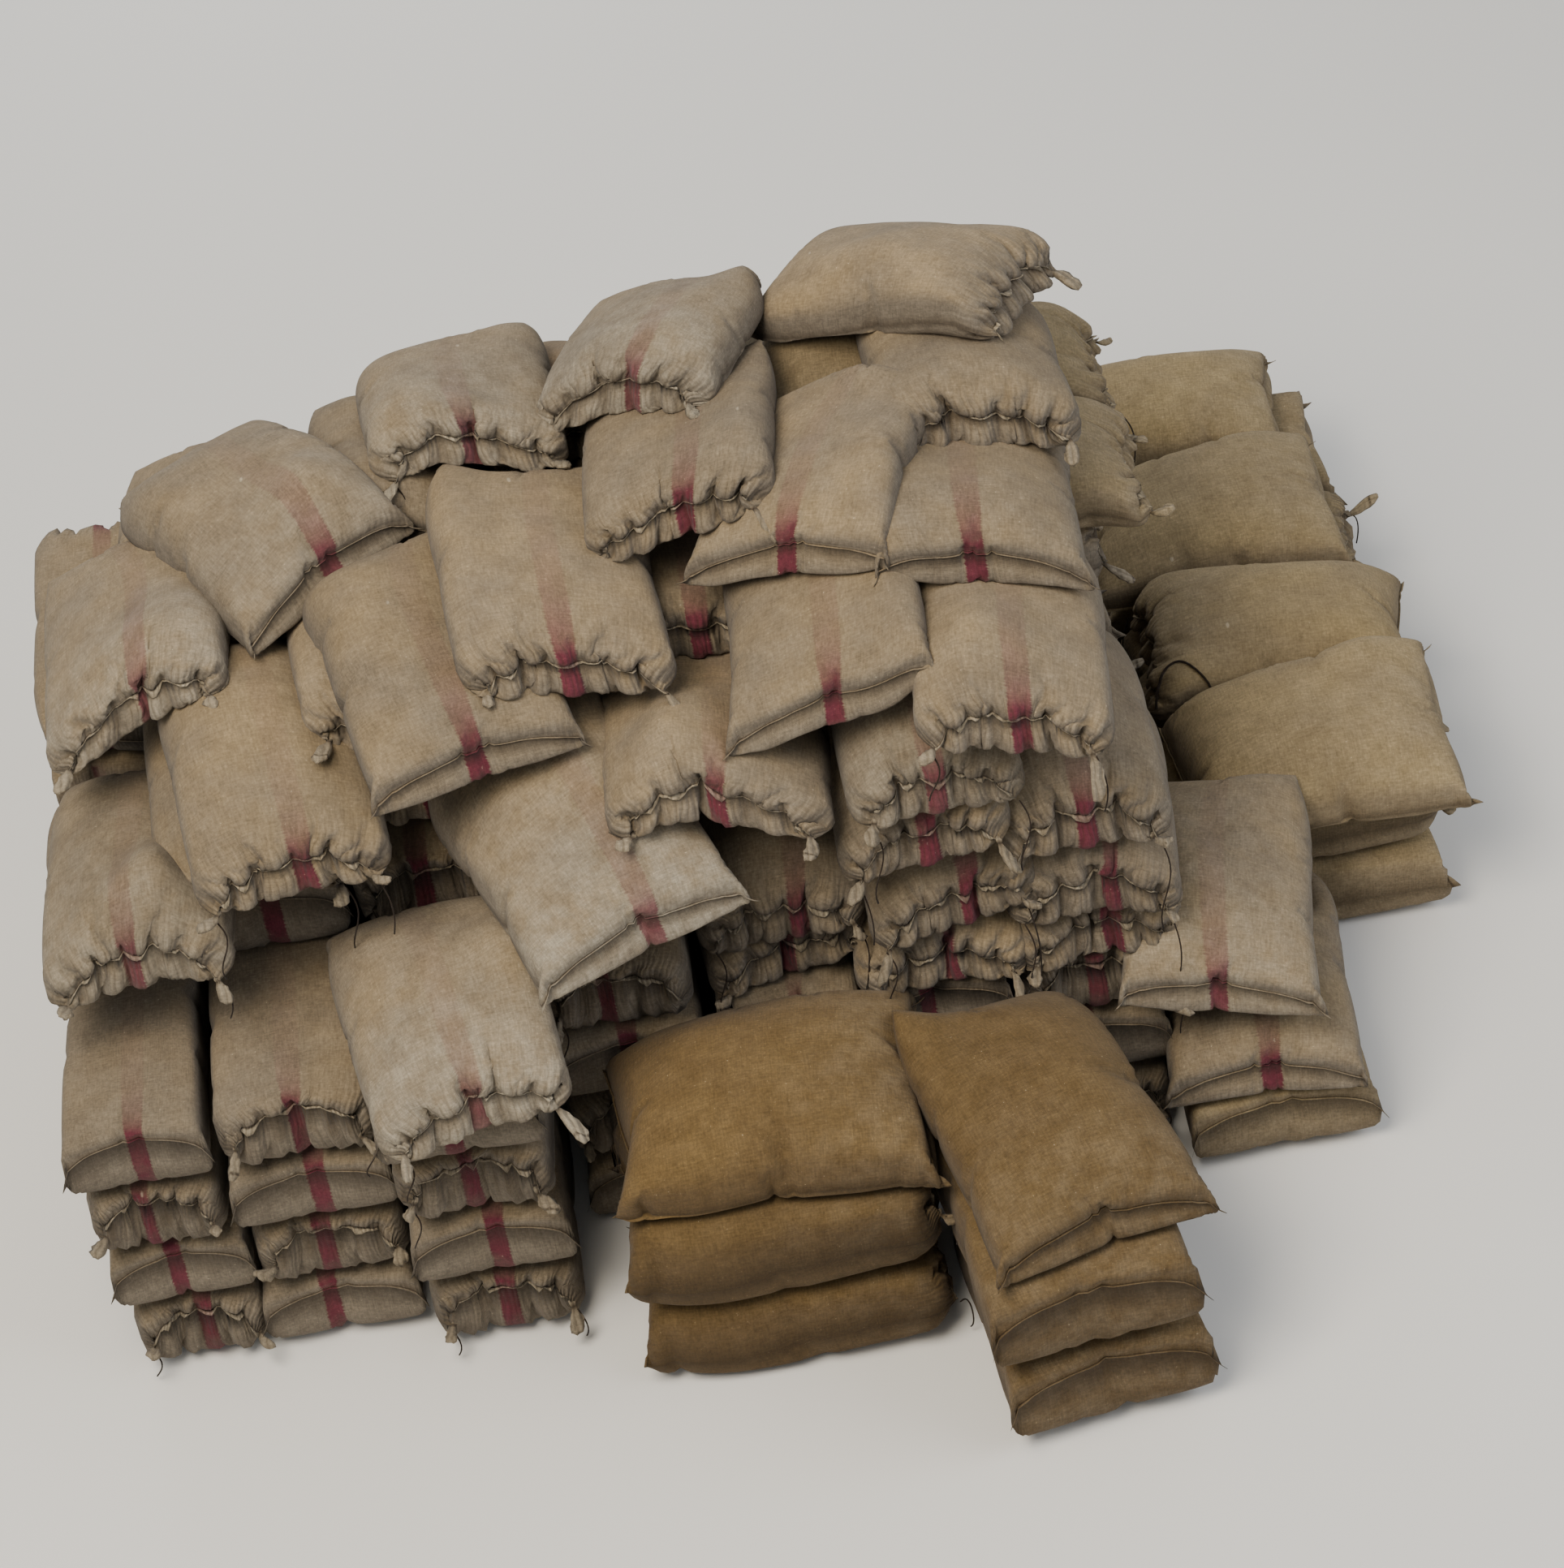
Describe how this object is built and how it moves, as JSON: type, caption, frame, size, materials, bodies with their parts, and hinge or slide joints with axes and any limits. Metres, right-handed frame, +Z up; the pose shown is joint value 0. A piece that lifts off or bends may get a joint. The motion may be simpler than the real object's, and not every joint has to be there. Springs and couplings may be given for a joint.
{
  "type": "stack of sacks",
  "caption": "A heap of filled jute grain sacks laid flat in crossing layers, stepping down at the front and along one side, for bulk storage and handling scenes",
  "frame": {"origin": "centre of the footprint's bounding box, on the floor", "axes": "X runs to the right along the front face, Y runs from the front into the stack, Z up from the floor"},
  "size_m": [4.218, 4.0074, 2.4665],
  "materials": {
    "weathered_jute": "matt, sun-bleached plain weave with a faded crimson stripe",
    "dusty_jute": "matt, dusty plain weave",
    "fresh_jute": "matt, new ochre plain weave",
    "hidden_jute": "matt, shaded plain weave"
  },
  "bodies": {
    "root": {"back_left": "weathered_jute", "back_middle": "weathered_jute", "back_plain_left": "weathered_jute", "back_plain_middle": "weathered_jute", "back_plain_right": "weathered_jute", "back_small": "weathered_jute", "behind_low": "weathered_jute", "column_left_4": "weathered_jute", "column_left_5": "weathered_jute", "column_middle_4": "weathered_jute", "column_middle_5": "weathered_jute", "column_middle_6": "weathered_jute", "column_right_4": "weathered_jute", "column_right_5": "weathered_jute", "column_right_6": "weathered_jute", "corner_back": "weathered_jute", "corner_front": "weathered_jute", "corner_low_back": "dusty_jute", "corner_low_front": "dusty_jute", "corner_second": "weathered_jute", "corner_third": "weathered_jute", "course_1": "hidden_jute", "course_2": "hidden_jute", "course_3": "hidden_jute", "course_4": "hidden_jute", "course_5": "hidden_jute", "course_6": "hidden_jute", "diagonal_left": "weathered_jute", "edge_back": "weathered_jute", "edge_front": "weathered_jute", "fresh_course_1": "fresh_jute", "fresh_course_2": "fresh_jute", "fresh_left": "fresh_jute", "fresh_right": "fresh_jute", "front_centre": "weathered_jute", "front_inner": "weathered_jute", "front_left": "weathered_jute", "front_low": "weathered_jute", "front_middle": "weathered_jute", "round_middle": "weathered_jute", "shaded_back": "dusty_jute", "shaded_front": "dusty_jute", "side_back": "dusty_jute", "side_course_1": "dusty_jute", "side_course_2": "dusty_jute", "side_first": "dusty_jute", "side_second": "dusty_jute", "side_striped_low": "weathered_jute", "side_striped_top": "weathered_jute", "side_third": "dusty_jute", "slanting_front": "weathered_jute", "step_edge": "weathered_jute", "step_end_left": "weathered_jute", "step_end_middle": "weathered_jute", "step_front": "weathered_jute", "step_hidden": "weathered_jute", "step_top_left": "weathered_jute", "step_top_middle": "weathered_jute", "turned_middle": "weathered_jute"}
  },
  "joints": []
}
